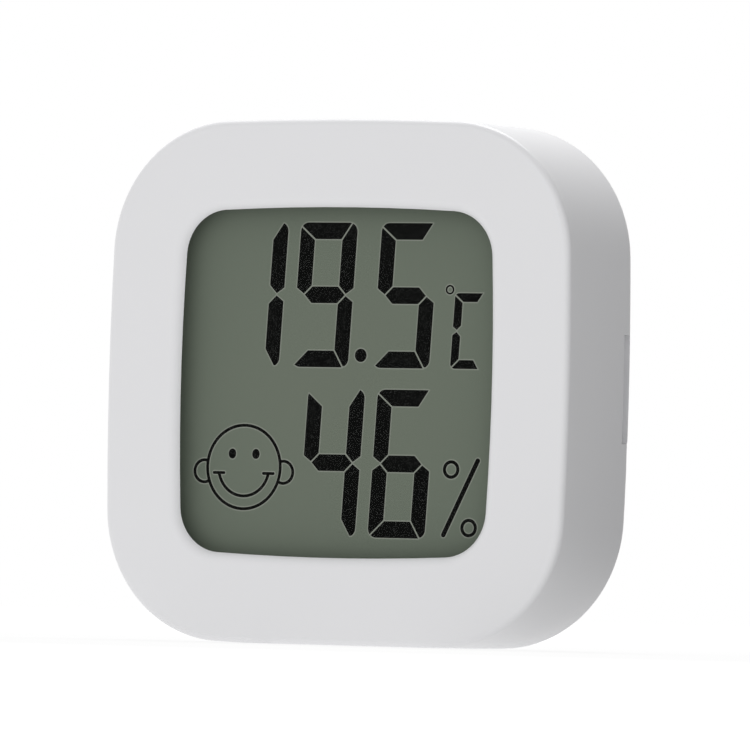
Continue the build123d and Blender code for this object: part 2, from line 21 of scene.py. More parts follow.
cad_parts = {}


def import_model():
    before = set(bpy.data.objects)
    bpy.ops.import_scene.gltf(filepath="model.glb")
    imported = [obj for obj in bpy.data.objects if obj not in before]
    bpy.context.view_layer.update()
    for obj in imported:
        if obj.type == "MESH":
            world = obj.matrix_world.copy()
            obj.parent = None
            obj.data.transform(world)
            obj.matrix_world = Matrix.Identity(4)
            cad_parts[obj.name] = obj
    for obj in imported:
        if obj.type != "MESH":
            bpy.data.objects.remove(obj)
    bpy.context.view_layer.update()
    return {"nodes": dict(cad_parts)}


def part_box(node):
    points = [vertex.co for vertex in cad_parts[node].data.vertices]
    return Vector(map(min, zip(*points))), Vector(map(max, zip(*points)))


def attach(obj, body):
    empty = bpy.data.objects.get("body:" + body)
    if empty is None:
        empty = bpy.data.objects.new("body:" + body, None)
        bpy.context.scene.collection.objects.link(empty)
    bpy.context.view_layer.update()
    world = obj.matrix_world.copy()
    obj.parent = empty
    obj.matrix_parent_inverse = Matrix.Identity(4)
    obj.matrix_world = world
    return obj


LOG = logging.getLogger("hygrometer")
MM = 0.001
WELD = 0.0005 * MM
RIGHT = Vector((1.0, 0.0, 0.0))
BACK = Vector((0.0, 1.0, 0.0))
UP = Vector((0.0, 0.0, 1.0))

Colour = tuple[float, float, float]
Triple = tuple[float, float, float]
Pair = tuple[float, float]
Socket = bpy.types.NodeSocket
Pieces = dict[str, bpy.types.Object]


class Body(Enum):
    """The bodies of the frame that new pieces ride on."""

    CASE = "case"
    CELL = "cell"


class Slot(Enum):
    """The record's material slots; new pieces are handed one, but nothing reads it."""

    FIGURES = "figures"
    BOARD = "board_laminate"
    STEEL = "steel"
    CELL = "cell_steel"
    SENSOR = "sensor_case"
    RESIN = "resin"


class Sheet:
    """A node tree of a material or of the world, with short calls for the nodes that recur."""

    def __init__(self, owner: bpy.types.Material | bpy.types.World) -> None:
        """Starts an empty tree.

        Args:
            owner: The material or world that the tree belongs to.
        """
        self.owner = owner
        owner.use_nodes = True
        self.tree = owner.node_tree
        self.tree.nodes.clear()
        kind = "World" if isinstance(owner, bpy.types.World) else "Material"
        self.output = self.add(f"ShaderNodeOutput{kind}")

    def add(
        self, kind: str, inputs: dict[str | int, object] | None = None, **settings: object
    ) -> bpy.types.Node:
        """Adds a node, sets it up and feeds its inputs.

        Args:
            kind: The node's type name.
            inputs: A value or a socket for each named or numbered input.
            **settings: The node's own properties.

        Returns:
            The new node.
        """
        node = self.tree.nodes.new(kind)
        for key, value in settings.items():
            setattr(node, key, value)
        for key, value in (inputs or {}).items():
            if isinstance(value, Socket):
                self.tree.links.new(value, node.inputs[key])
            elif isinstance(value, tuple) and node.inputs[key].type == "RGBA":
                node.inputs[key].default_value = (*value, 1.0)
            else:
                node.inputs[key].default_value = value
        return node

    def place(self, middle: Vector | None = None) -> Socket:
        """The place on the object in metres, measured from a middle if one is given."""
        place = self.add("ShaderNodeTexCoord").outputs["Object"]
        if middle is None:
            return place
        return self.add("ShaderNodeVectorMath", {0: place, 1: middle}, operation="SUBTRACT").outputs[0]

    def noise(self, size: float, detail: float = 2.0, place: Socket | None = None) -> Socket:
        """Cloudy noise from 0 to 1.

        Args:
            size: Length of one patch, in metres.
            detail: How many finer layers it has.
            place: Where it is read, instead of the object's own place.

        Returns:
            The noise as a socket.
        """
        inputs = {"Vector": place or self.place(), "Scale": 1.0 / size, "Detail": detail}
        return self.add("ShaderNodeTexNoise", inputs).outputs["Fac"]

    def span(
        self, value: Socket, low: float, high: float, start: float = 0.0, stop: float = 1.0
    ) -> Socket:
        """Maps a value from start..stop to low..high, and holds it beyond them."""
        inputs = {"Value": value, "From Min": start, "From Max": stop, "To Min": low, "To Max": high}
        return self.add("ShaderNodeMapRange", inputs).outputs["Result"]

    def reckon(self, operation: str, *values: Socket | float) -> Socket:
        """One math node.

        Args:
            operation: Its name, such as MULTIPLY.
            *values: Its inputs in order.

        Returns:
            The result as a socket.
        """
        return self.add("ShaderNodeMath", dict(enumerate(values)), operation=operation).outputs[0]

    def mix(self, share: Socket, first: Socket | Colour, second: Socket | Colour) -> Socket:
        """Mixes two colours by a share of the second."""
        inputs = {0: share, 6: first, 7: second}
        return self.add("ShaderNodeMix", inputs, data_type="RGBA").outputs[2]

    def bump(self, height: Socket, depth: float, normal: Socket | None = None) -> Socket:
        """A bump of the given depth in metres, laid over another one if there is one."""
        inputs: dict[str | int, object] = {"Height": height, "Distance": depth}
        if normal is not None:
            inputs["Normal"] = normal
        return self.add("ShaderNodeBump", inputs).outputs["Normal"]

    def seen(self) -> Socket:
        """1 for the rays of the camera, of gloss and of glass, and 0 for the light's own rays."""
        path = self.add("ShaderNodeLightPath").outputs
        clear = self.reckon("MAXIMUM", path["Is Glossy Ray"], path["Is Transmission Ray"])
        return self.reckon("MAXIMUM", path["Is Camera Ray"], clear)

    def close(self, shader: bpy.types.Node) -> bpy.types.Material | bpy.types.World:
        """Joins the shader to the output and returns the owner."""
        self.tree.links.new(shader.outputs[0], self.output.inputs["Surface"])
        return self.owner


class Finish(Protocol):
    """What a surface is made of."""

    name: str

    def make(self) -> bpy.types.Material:
        """Returns the material."""


@dataclass(frozen=True)
class Moulded:
    """Moulded plastic, rubber or resin: a fine grain, a faint ripple and an uneven tone."""

    name: str
    colour: Colour
    roughness: float = 0.42
    tone: float = 0.02
    grain: float = 0.16 * MM
    grain_depth: float = 0.0012 * MM
    ripple_depth: float = 0.005 * MM
    specular: float = 0.5
    cloud: float = 9.0 * MM
    ripple: float = 3.5 * MM
    sway: float = 0.04

    def make(self) -> bpy.types.Material:
        """Returns the material."""
        sheet = Sheet(bpy.data.materials.new(self.name))
        dark = tuple(channel * (1.0 - self.tone) for channel in self.colour)
        cloud = sheet.noise(self.cloud, 3.0)
        grain = sheet.noise(self.grain, 4.0)
        ripple = sheet.bump(sheet.noise(self.ripple, 1.0), self.ripple_depth)
        surface = {
            "Base Color": sheet.mix(cloud, dark, self.colour),
            "Roughness": sheet.span(grain, self.roughness - self.sway, self.roughness + self.sway),
            "Specular IOR Level": self.specular,
            "Normal": sheet.bump(grain, self.grain_depth, ripple),
        }
        return sheet.close(sheet.add("ShaderNodeBsdfPrincipled", surface))


@dataclass(frozen=True)
class Pane:
    """A clear sheet of glass or film: light passes straight on, and a little is thrown back."""

    name: str
    tint: Colour
    ior: float
    roughness: float
    haze: float = 0.03
    patch: float = 1.2 * MM

    def make(self) -> bpy.types.Material:
        """Returns the material."""
        sheet = Sheet(bpy.data.materials.new(self.name))
        haze = sheet.span(sheet.noise(self.patch), self.roughness, self.roughness + self.haze)
        clear = sheet.add("ShaderNodeBsdfTransparent", {"Color": self.tint})
        gloss = sheet.add("ShaderNodeBsdfGlossy", {"Roughness": haze})
        share = sheet.add("ShaderNodeFresnel", {"IOR": self.ior})
        layers = {0: share.outputs[0], 1: clear.outputs[0], 2: gloss.outputs[0]}
        return sheet.close(sheet.add("ShaderNodeMixShader", layers))


@dataclass(frozen=True)
class Metal:
    """Drawn or plated metal, with fine streaks along one axis."""

    name: str
    colour: Colour
    roughness: float = 0.3
    streak: float = 0.05 * MM
    stretch: Triple = (1.0, 1.0, 12.0)
    streak_depth: float = 0.0015 * MM
    patch: float = 2.5 * MM
    tone: float = 0.14

    def make(self) -> bpy.types.Material:
        """Returns the material."""
        sheet = Sheet(bpy.data.materials.new(self.name))
        along = {"Vector": sheet.place(), "Scale": tuple(1.0 / length for length in self.stretch)}
        streaks = sheet.noise(self.streak, 2.0, sheet.add("ShaderNodeMapping", along).outputs[0])
        dark = tuple(channel * (1.0 - self.tone) for channel in self.colour)
        surface = {
            "Base Color": sheet.mix(sheet.noise(self.patch, 3.0), dark, self.colour),
            "Metallic": 1.0,
            "Roughness": sheet.span(streaks, self.roughness - 0.06, self.roughness + 0.08),
            "Normal": sheet.bump(streaks, self.streak_depth),
        }
        return sheet.close(sheet.add("ShaderNodeBsdfPrincipled", surface))


@dataclass(frozen=True)
class TurnedMetal:
    """Metal with the fine rings that a lathe or a polishing wheel leaves round its middle."""

    name: str
    colour: Colour
    middle: Triple
    ring: float = 0.09 * MM
    roughness: float = 0.26
    ring_depth: float = 0.002 * MM
    patch: float = 3.0 * MM
    tone: float = 0.12

    def make(self) -> bpy.types.Material:
        """Returns the material."""
        sheet = Sheet(bpy.data.materials.new(self.name))
        out = sheet.place(Vector(self.middle))
        flat = sheet.add("ShaderNodeVectorMath", {0: out, 1: (1.0, 0.0, 1.0)}, operation="MULTIPLY")
        reach = sheet.add("ShaderNodeVectorMath", {0: flat.outputs[0]}, operation="LENGTH").outputs["Value"]
        radius = sheet.add("ShaderNodeCombineXYZ", {"X": reach}).outputs[0]
        rings = sheet.noise(self.ring, 3.0, radius)
        dark = tuple(channel * (1.0 - self.tone) for channel in self.colour)
        surface = {
            "Base Color": sheet.mix(sheet.noise(self.patch, 3.0), dark, self.colour),
            "Metallic": 1.0,
            "Roughness": sheet.span(rings, self.roughness - 0.08, self.roughness + 0.10),
            "Normal": sheet.bump(rings, self.ring_depth),
        }
        return sheet.close(sheet.add("ShaderNodeBsdfPrincipled", surface))


@dataclass(frozen=True)
class Reflector:
    """The grey-green diffusing ground behind the figures, with painted shade that darkens it from its
    middle towards its edges.
    """

    name: str
    colour: Colour
    shaded_edge_colour: Colour
    middle: Triple
    reach: float
    inner_share: float = 0.25
    cloud: float = 5.0 * MM
    cloud_share: float = 0.12
    grain: float = 0.12 * MM
    grain_depth: float = 0.001 * MM

    def make(self) -> bpy.types.Material:
        """Returns the material."""
        sheet = Sheet(bpy.data.materials.new(self.name))
        out = sheet.place(Vector(self.middle))
        length = sheet.add("ShaderNodeVectorMath", {0: out}, operation="LENGTH").outputs["Value"]
        # Painted shade: the ground turns from its own colour at the middle to a darker edge colour towards
        # its edges.
        edge_shade = sheet.span(length, 0.0, 1.0, self.inner_share * self.reach, self.reach)
        cloud = sheet.reckon("MULTIPLY_ADD", sheet.noise(self.cloud), self.cloud_share, edge_shade)
        grain = sheet.noise(self.grain)
        surface = {
            "Base Color": sheet.mix(cloud, self.colour, self.shaded_edge_colour),
            "Roughness": sheet.span(grain, 0.75, 0.9),
            "Specular IOR Level": 0.1,
            "Normal": sheet.bump(grain, self.grain_depth),
        }
        return sheet.close(sheet.add("ShaderNodeBsdfPrincipled", surface))


@dataclass(frozen=True)
class Laminate:
    """Circuit board: solder mask over a woven laminate, whose own tone shows at the cut edges."""

    name: str
    mask: Colour
    edge: Colour
    thread: float = 0.45 * MM
    thread_depth: float = 0.003 * MM
    patch: float = 4.0 * MM
    grain: float = 0.2 * MM
    tone: float = 0.2

    def make(self) -> bpy.types.Material:
        """Returns the material."""
        sheet = Sheet(bpy.data.materials.new(self.name))
        facing = sheet.add("ShaderNodeNewGeometry").outputs["True Normal"]
        across = sheet.add("ShaderNodeSeparateXYZ", {0: facing}).outputs["Y"]
        side = sheet.reckon("LESS_THAN", sheet.reckon("ABSOLUTE", across), 0.5)
        place = sheet.add("ShaderNodeSeparateXYZ", {0: sheet.place()}).outputs
        waves = [
            sheet.reckon("SINE", sheet.reckon("MULTIPLY", place[axis], math.pi / self.thread))
            for axis in ("X", "Z")
        ]
        weave = sheet.reckon("MULTIPLY", *waves)
        dark = tuple(channel * (1.0 - self.tone) for channel in self.mask)
        mask = sheet.mix(sheet.noise(self.patch, 3.0), dark, self.mask)
        surface = {
            "Base Color": sheet.mix(side, mask, self.edge),
            "Roughness": sheet.span(sheet.noise(self.grain), 0.22, 0.34),
            "Normal": sheet.bump(weave, self.thread_depth),
        }
        return sheet.close(sheet.add("ShaderNodeBsdfPrincipled", surface))


@dataclass(frozen=True)
class ZebraRubber:
    """Silicone strip with thin conducting layers that stand side by side along it."""

    name: str
    silicone: Colour
    carbon: Colour
    pitch: float = 0.18 * MM
    grain: float = 0.1 * MM
    grain_depth: float = 0.002 * MM

    def make(self) -> bpy.types.Material:
        """Returns the material."""
        sheet = Sheet(bpy.data.materials.new(self.name))
        along = sheet.add("ShaderNodeSeparateXYZ", {0: sheet.place()}).outputs["X"]
        wave = sheet.reckon("SINE", sheet.reckon("MULTIPLY", along, 2.0 * math.pi / self.pitch))
        layer = sheet.span(wave, 0.0, 1.0, -0.1, 0.1)
        grain = sheet.noise(self.grain)
        surface = {
            "Base Color": sheet.mix(layer, self.silicone, self.carbon),
            "Roughness": sheet.span(grain, 0.5, 0.65),
            "Normal": sheet.bump(grain, self.grain_depth),
        }
        return sheet.close(sheet.add("ShaderNodeBsdfPrincipled", surface))


WHITE_PLASTIC = Moulded("white_plastic", (0.80, 0.80, 0.815))
POLARISER = Pane("polariser", (0.985, 0.985, 0.985), 1.05, 0.3)
CLEAR_GLASS = Pane("clear_glass", (0.995, 0.995, 0.995), 1.02, 0.1)
FIGURE_BLACK = Moulded("figure_black", (0.004, 0.0045, 0.004), 0.6, 0.3, specular=0.05)
HALO_GREY = Moulded("halo_grey", (0.255, 0.275, 0.235), 0.7, 0.05, specular=0.05)
CELL_SEAL = Moulded("cell_seal", (0.42, 0.43, 0.38), 0.3, 0.1)
FRAME_WHITE = Moulded("frame_white", (0.62, 0.62, 0.60), 0.5, 0.04, 0.3 * MM, 0.003 * MM)
BLACK_PLASTIC = Moulded("black_plastic", (0.02, 0.02, 0.022), 0.4, 0.25, 0.25 * MM, 0.003 * MM)
PLUNGER_CREAM = Moulded("plunger_cream", (0.62, 0.57, 0.46), 0.45, 0.08)
SENSOR_WHITE = Moulded("sensor_white", (0.72, 0.72, 0.69), 0.5, 0.06)
MEMBRANE = Moulded("membrane", (0.50, 0.50, 0.48), 0.8, 0.2, 0.07 * MM, 0.006 * MM)
BLACK_RESIN = Moulded("black_resin", (0.012, 0.012, 0.013), 0.16, 0.3, 1.1 * MM, 0.006 * MM, 0.05 * MM)
BEAD_EPOXY = Moulded("bead_epoxy", (0.02, 0.02, 0.024), 0.2, 0.3, 0.6 * MM, 0.006 * MM, 0.02 * MM)
CHIP_BLACK = Moulded("chip_black", (0.022, 0.022, 0.024), 0.35, 0.3, 0.2 * MM, 0.004 * MM)
CHIP_TAN = Moulded("chip_tan", (0.40, 0.27, 0.15), 0.5, 0.2, 0.15 * MM, 0.006 * MM)
TRACK_GREEN = Moulded("track_green", (0.055, 0.20, 0.075), 0.26, 0.15)
BOARD_MASK = Laminate("board_mask", (0.030, 0.125, 0.045), (0.50, 0.46, 0.28))
ZEBRA = ZebraRubber("zebra_rubber", (0.58, 0.55, 0.56), (0.03, 0.03, 0.03))
STEEL = Metal("nickel_steel", (0.70, 0.70, 0.69), 0.28)
SPRING_METAL = Metal("spring_metal", (0.74, 0.66, 0.46), 0.24)
CAN_METAL = Metal("can_metal", (0.74, 0.75, 0.76), 0.22, stretch=(12.0, 1.0, 1.0))
SOLDER = Metal("solder", (0.66, 0.67, 0.69), 0.24, 0.3 * MM, (1.0, 1.0, 1.0))
PLATED_PAD = Metal("plated_pad", (0.76, 0.64, 0.36), 0.3, 0.2 * MM, (1.0, 1.0, 1.0))


def dress(piece: bpy.types.Object, finish: Finish) -> None:
    """Gives a piece its finish, as its only material.

    Args:
        piece: The piece, new or of the frame.
        finish: What its surface is.
    """
    slots = piece.data.materials
    slots.clear()
    slots.append(bpy.data.materials.get(finish.name) or finish.make())
    LOG.info("%s: %s", piece.name, finish.name)


class Form:
    """The mesh of one new piece, put together from closed bodies."""

    def __init__(self) -> None:
        """Starts an empty mesh."""
        self.mesh = bmesh.new()

    def loft(self, rings: Sequence[Sequence[Vector]], round_again: bool = False) -> None:
        """Skins a row of rings.

        Args:
            rings: Closed rings of points, all with the same number of points.
            round_again: Joins the last ring to the first one instead of capping both.
        """
        rows = [[self.mesh.verts.new(point) for point in ring] for ring in rings]
        followers = rows[1:] + rows[:1] if round_again else rows[1:]
        for near, far in zip(rows, followers):
            for index in range(len(near)):
                after = (index + 1) % len(near)
                self.mesh.faces.new((near[index], near[after], far[after], far[index]))
        if not round_again:
            self.mesh.faces.new(rows[0])
            self.mesh.faces.new(rows[-1])

    def turned(self, base: Vector, axis: Vector, profile: Sequence[Pair], steps: int = 24) -> None:
        """Turns a profile of radii and heights round an axis.

        Args:
            base: Where the axis starts.
            axis: Its direction.
            profile: Radius and height of each ring, in order.
            steps: Points on a ring.
        """
        turn = axis.to_track_quat("Z", "Y")
        angles = [2.0 * math.pi * step / steps for step in range(steps)]
        self.loft(
            [
                [base + turn @ Vector((r * math.cos(a), r * math.sin(a), height)) for a in angles]
                for r, height in profile
            ]
        )

    def block(self, low: Vector, high: Vector, edge: float) -> None:
        """A block along the axes, with all its edges cut off.

        Args:
            low: Its lowest corner.
            high: Its highest corner.
            edge: Width of the cut along its edges.
        """
        rings = []
        for y, inset in ((low.y, edge), (low.y + edge, 0.0), (high.y - edge, 0.0), (high.y, edge)):
            left, right, foot, top = low.x + inset, high.x - inset, low.z + inset, high.z - inset
            corners = [
                (left + edge, foot), (right - edge, foot), (right, foot + edge), (right, top - edge),
                (right - edge, top), (left + edge, top), (left, top - edge), (left, foot + edge),
            ]
            rings.append([Vector((x, y, z)) for x, z in corners])
        self.loft(rings)

    def strip(self, route: Sequence[Vector], width: float, thickness: Vector) -> None:
        """A flat strip along a route of straight runs, with mitred corners.

        Args:
            route: Its middle line, in a plane across the thickness.
            width: Its width.
            thickness: Its thickness, as a step out of the plane.
        """
        runs = [(end - start).normalized() for start, end in zip(route, route[1:])]
        sides = [run.cross(thickness).normalized() for run in runs]
        left, right = [], []
        for point, first, second in zip(route, sides[:1] + sides, sides + sides[-1:]):
            out = (first + second) * (width / 2 / (1.0 + first.dot(second)))
            left.append(point + out)
            right.append(point - out)
        outline = left + right[::-1]
        self.loft([outline, [point + thickness for point in outline]])

    def piece(self, name: str, body: Body, slot: Slot, finish: Finish) -> bpy.types.Object:
        """Turns the mesh into a dressed piece that rides on a body.

        Args:
            name: The piece's name.
            body: What it rides on.
            slot: The record's slot for its finish; not used.
            finish: What its surface is.

        Returns:
            The new piece.
        """
        bmesh.ops.recalc_face_normals(self.mesh, faces=self.mesh.faces)
        data = bpy.data.meshes.new(name)
        self.mesh.to_mesh(data)
        self.mesh.free()
        data.shade_smooth()
        data.set_sharp_from_angle(angle=math.radians(32.0))
        piece = bpy.data.objects.new(name, data)
        bpy.context.scene.collection.objects.link(piece)
        dress(piece, finish)
        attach(piece, body.value)
        return piece


def welded(node: bpy.types.Object) -> bmesh.types.BMesh:
    """A copy of a node's mesh in which its faces share their corners."""
    mesh = bmesh.new()
    mesh.from_mesh(node.data)
    bmesh.ops.remove_doubles(mesh, verts=mesh.verts, dist=WELD)
    return mesh


def solids(node: bpy.types.Object) -> list[tuple[Vector, Vector]]:
    """Lowest and highest corner of each solid of a node, from left to right."""
    mesh = welded(node)
    waiting, boxes = set(mesh.verts), []
    while waiting:
        group, border = set(), {waiting.pop()}
        while border:
            group |= border
            border = {edge.other_vert(v) for v in border for edge in v.link_edges} - group
        waiting -= group
        corners = [[pick(v.co[axis] for v in group) for axis in range(3)] for pick in (min, max)]
        boxes.append((Vector(corners[0]), Vector(corners[1])))
    mesh.free()
    return sorted(boxes, key=lambda box: tuple(box[0]))


def draw_in(piece: bpy.types.Object, depth: float) -> None:
    """Draws the faces of a piece in by a hair, so that none lies in a face of its neighbour.

    Args:
        piece: The piece; its mesh stays as it is.
        depth: How far each face moves.
    """
    weld = piece.modifiers.new("weld", "WELD")
    weld.merge_threshold = WELD
    shrink = piece.modifiers.new("shrink", "DISPLACE")
    shrink.strength = -depth
    shrink.mid_level = 0.0


def front_outlines(node: bpy.types.Object) -> list[tuple[list[Vector], list[Vector]]]:
    """Outlines of a node's front faces.

    Args:
        node: A node whose front faces lie in one plane.

    Returns:
        For each outline its points in order, and the outward direction of each run from its point.
    """
    mesh = welded(node)
    front = min(v.co.y for v in mesh.verts)
    edges = {}
    for edge in mesh.edges:
        faces = [f for f in edge.link_faces if all(v.co.y - front < 0.001 * MM for v in f.verts)]
        if len(faces) == 1:
            edges[edge] = faces[0].calc_center_median()
    outlines = []
    while edges:
        start = min(edges, key=lambda edge: edge.index)
        point, points, outs, edge = start.verts[0], [], [], start
        while edge is not None:
            inside, after = edges.pop(edge), edge.other_vert(point)
            side = (after.co - point.co).cross(BACK).normalized()
            away = (point.co + after.co) / 2 - inside
            points.append(point.co.copy())
            outs.append(side if side.dot(away) > 0 else -side)
            point = after
            edge = next((e for e in point.link_edges if e in edges), None)
        outlines.append((points, outs))
    mesh.free()
    return outlines


@dataclass
class Shell:
    """The front housing, the back cover and the button in it."""

    finish: Finish = WHITE_PLASTIC

    def build(self, nodes: Pieces) -> None:
        """Dresses the outer pieces.

        Args:
            nodes: The frame's pieces by name.
        """
        for name in ("front_housing", "back_cover", "unit_button"):
            dress(nodes[name], self.finish)


@dataclass
class Display:
    """The liquid-crystal display with its panes, its figures and its ground."""

    halo_width: float = 0.09 * MM
    halo_thickness: float = 0.012 * MM
    halo_setback: float = 0.02 * MM
    halo_step: float = 0.001 * MM
    pane_gap: float = 0.002 * MM
    figure_gap: float = 0.004 * MM
    ground_colour: Colour = (0.165, 0.190, 0.150)
    # The ground's colour at its edges is a little darker: painted shade of the window's recess.
    ground_shaded_edge_colour: Colour = (0.158, 0.186, 0.147)
    sharpest_turn: float = 0.5
    figures: tuple[str, ...] = ("temperature_digits", "humidity_digits", "unit_marks", "comfort_icon")
    glasses: tuple[str, ...] = ("lcd_front_glass", "lcd_rear_glass")

    def build(self, nodes: Pieces) -> None:
        """Dresses the display and draws the pale line round each figure.

        Args:
            nodes: The frame's pieces by name.
        """
        low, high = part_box("lcd_reflector")
        middle, reach = tuple((low + high) / 2), (high.x - low.x) / 2
        ground = Reflector("reflector_ground", self.ground_colour, self.ground_shaded_edge_colour, middle, reach)
        dress(nodes["lcd_reflector"], ground)
        dress(nodes["front_polariser"], POLARISER)
        for name in self.glasses:
            dress(nodes[name], CLEAR_GLASS)
        for name in self.figures:
            dress(nodes[name], FIGURE_BLACK)
        dress(nodes["lcd_cell_seal"], CELL_SEAL)
        dress(nodes["lcd_frame"], FRAME_WHITE)
        for name in ("upper_zebra_strip", "lower_zebra_strip"):
            dress(nodes[name], ZEBRA)
        halos = self.halos(nodes)
        panes = ("front_polariser", *self.glasses)
        for names, gap in ((panes, self.pane_gap), (self.figures, self.figure_gap)):
            for name in names:
                draw_in(nodes[name], gap)
        for piece in (*(nodes[name] for name in (*panes, *self.figures)), halos):
            piece.visible_shadow = False
            piece.visible_diffuse = False

    def halos(self, nodes: Pieces) -> bpy.types.Object:
        """Draws a thin pale ring round the outline of each figure.

        Args:
            nodes: The frame's pieces by name.

        Returns:
            All the rings as one piece.
        """
        form = Form()
        outlines = [outline for name in self.figures for outline in front_outlines(nodes[name])]
        for index, (points, outs) in enumerate(outlines):
            front = BACK * (self.halo_setback + index * self.halo_step)
            back = front + BACK * self.halo_thickness
            grown = []
            for point, before, after in zip(points, outs[-1:] + outs, outs):
                share = self.halo_width / max(1.0 + before.dot(after), self.sharpest_turn)
                grown.append(point + (before + after) * share)
            form.loft(
                [[p + front for p in points], [p + front for p in grown],
                 [p + back for p in grown], [p + back for p in points]],
                round_again=True,
            )
        return form.piece("figure_halos", Body.CASE, Slot.FIGURES, HALO_GREY)


@dataclass
class Board:
    """The circuit board with its tracks, its small parts and their solder."""

    track_width: float = 0.28 * MM
    copper: float = 0.03 * MM
    via_radius: float = 0.32 * MM
    via_bore: float = 0.14 * MM
    pad_edge: float = 0.22 * MM
    cap_length: float = 0.32 * MM
    cap_rise: float = 0.02 * MM
    fillet_reach: float = 0.34 * MM
    joint_radius: float = 0.55 * MM
    joint_height: float = 0.5 * MM
    joint_shares: tuple[Pair, ...] = (
        (1.0, 0.0), (0.98, 0.06), (0.72, 0.2), (0.52, 0.45), (0.42, 0.8), (0.38, 1.0),
    )
    fillet_shares: tuple[Pair, ...] = ((0.0, 0.0), (1.0, 0.0), (0.45, 0.22), (0.12, 0.55), (0.0, 0.8))
    lead_pitch: float = 1.4 * MM
    crystal_inset: float = 0.2 * MM
    membrane_radius: float = 0.88 * MM
    membrane_depth: float = 0.3 * MM
    membrane_thickness: float = 0.06 * MM
    terminal_pitch: float = 1.1 * MM
    terminal_width: float = 0.5 * MM
    terminal_reach: float = 0.12 * MM
    terminal_sink: float = 0.05 * MM
    terminal_edge: float = 0.03 * MM
    terminal_height_share: float = 0.45
    track_shares: tuple[tuple[Pair, ...], ...] = (
        ((-0.372, 0.155), (-0.425, 0.210), (-0.425, 0.330), (-0.375, 0.380)),
        ((-0.330, 0.155), (-0.300, 0.185), (-0.300, 0.245)),
        ((-0.372, 0.105), (-0.440, 0.105), (-0.455, 0.120), (-0.455, 0.160)),
        ((-0.372, 0.055), (-0.440, 0.055), (-0.440, -0.120)),
        ((-0.372, -0.050), (-0.415, -0.050), (-0.425, -0.060), (-0.425, -0.150)),
        ((-0.372, -0.155), (-0.400, -0.190), (-0.400, -0.330), (-0.340, -0.395), (-0.180, -0.425)),
        ((-0.372, -0.105), (-0.440, -0.160), (-0.440, -0.300)),
        ((0.372, 0.105), (0.425, 0.120), (0.425, 0.160)),
        ((0.372, 0.055), (0.440, 0.055), (0.440, -0.080)),
        ((0.372, -0.105), (0.430, -0.130), (0.430, -0.260)),
        ((0.372, -0.155), (0.400, -0.180), (0.400, -0.240)),
        ((0.356, -0.345), (0.356, -0.400), (0.320, -0.435), (0.160, -0.435)),
        ((0.356, -0.295), (0.400, -0.295)),
        ((-0.170, 0.300), (-0.120, 0.300), (-0.080, 0.330)),
        ((-0.170, 0.360), (-0.060, 0.420), (0.200, 0.420), (0.240, 0.390), (0.300, 0.350)),
        ((0.240, 0.300), (0.300, 0.300)),
        ((-0.340, 0.300), (-0.400, 0.300)),
        ((-0.340, 0.360), (-0.360, 0.420), (-0.300, 0.450), (-0.120, 0.450)),
    )
    via_shares: tuple[Pair, ...] = (
        (-0.375, 0.380), (-0.300, 0.245), (-0.455, 0.160), (-0.440, -0.120), (-0.425, -0.150),
        (-0.180, -0.425), (-0.440, -0.300), (0.425, 0.160), (0.440, -0.080), (0.430, -0.260),
        (0.160, -0.435), (0.400, -0.295), (0.240, 0.300), (-0.400, 0.300), (-0.120, 0.450),
    )

    def build(self, nodes: Pieces) -> None:
        """Dresses the board and its parts and adds what is soldered and etched.

        Args:
            nodes: The frame's pieces by name.
        """
        self.low, self.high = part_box("circuit_board")
        finishes = {
            "circuit_board": BOARD_MASK,
            "board_screws": STEEL,
            "controller_blob": BLACK_RESIN,
            "thermistor": BEAD_EPOXY,
            "timing_crystal": CAN_METAL,
            "chip_resistors": CHIP_BLACK,
            "chip_capacitors": CHIP_TAN,
            "humidity_sensor": SENSOR_WHITE,
        }
        for name, finish in finishes.items():
            dress(nodes[name], finish)
        self.tracks()
        self.screw_pads(nodes["board_screws"])
        self.chip_ends(nodes)
        self.lead_joints()
        self.sensor_detail()

    def at(self, share: Pair) -> Vector:
        """A place on the back of the board, from shares of its width and height."""
        size, middle = self.high - self.low, (self.low + self.high) / 2
        return Vector((middle.x + share[0] * size.x, self.high.y, middle.z + share[1] * size.z))

    def ring(self, form: Form, middle: Vector, bore: float, radius: float, height: float) -> None:
        """Adds a flat ring that stands on the back of the board."""
        angles = [2.0 * math.pi * step / 24 for step in range(24)]
        spokes = [RIGHT * math.cos(angle) + UP * math.sin(angle) for angle in angles]
        corners = ((bore, 0.0), (radius, 0.0), (radius, height), (bore, height))
        form.loft([[middle + s * r + BACK * h for s in spokes] for r, h in corners], round_again=True)

    def tracks(self) -> None:
        """Copper tracks under the mask, and the plated holes at their ends."""
        form = Form()
        for shares in self.track_shares:
            form.strip([self.at(share) for share in shares], self.track_width, BACK * self.copper)
        form.piece("board_tracks", Body.CASE, Slot.BOARD, TRACK_GREEN)
        form = Form()
        for share in self.via_shares:
            self.ring(form, self.at(share), self.via_bore, self.via_radius, 1.5 * self.copper)
        form.piece("board_vias", Body.CASE, Slot.STEEL, PLATED_PAD)

    def screw_pads(self, screws: bpy.types.Object) -> None:
        """A bare plated ring under the head of each screw."""
        form = Form()
        for low, high in solids(screws):
            middle = Vector(((low.x + high.x) / 2, self.high.y, (low.z + high.z) / 2))
            radius = (high.x - low.x) / 2
            self.ring(form, middle, 0.7 * radius, radius + self.pad_edge, self.copper)
        form.piece("screw_pads", Body.CASE, Slot.STEEL, PLATED_PAD)

    def chip_ends(self, nodes: Pieces) -> None:
        """Metal caps over the ends of the chips, and the solder that runs up to them."""
        caps, joints = Form(), Form()
        for name in ("chip_resistors", "chip_capacitors"):
            for low, high in solids(nodes[name]):
                for side in (-1, 1):
                    self.chip_end(caps, joints, low, high, side)
        caps.piece("chip_caps", Body.CASE, Slot.STEEL, STEEL)
        joints.piece("chip_solder", Body.CASE, Slot.STEEL, SOLDER)

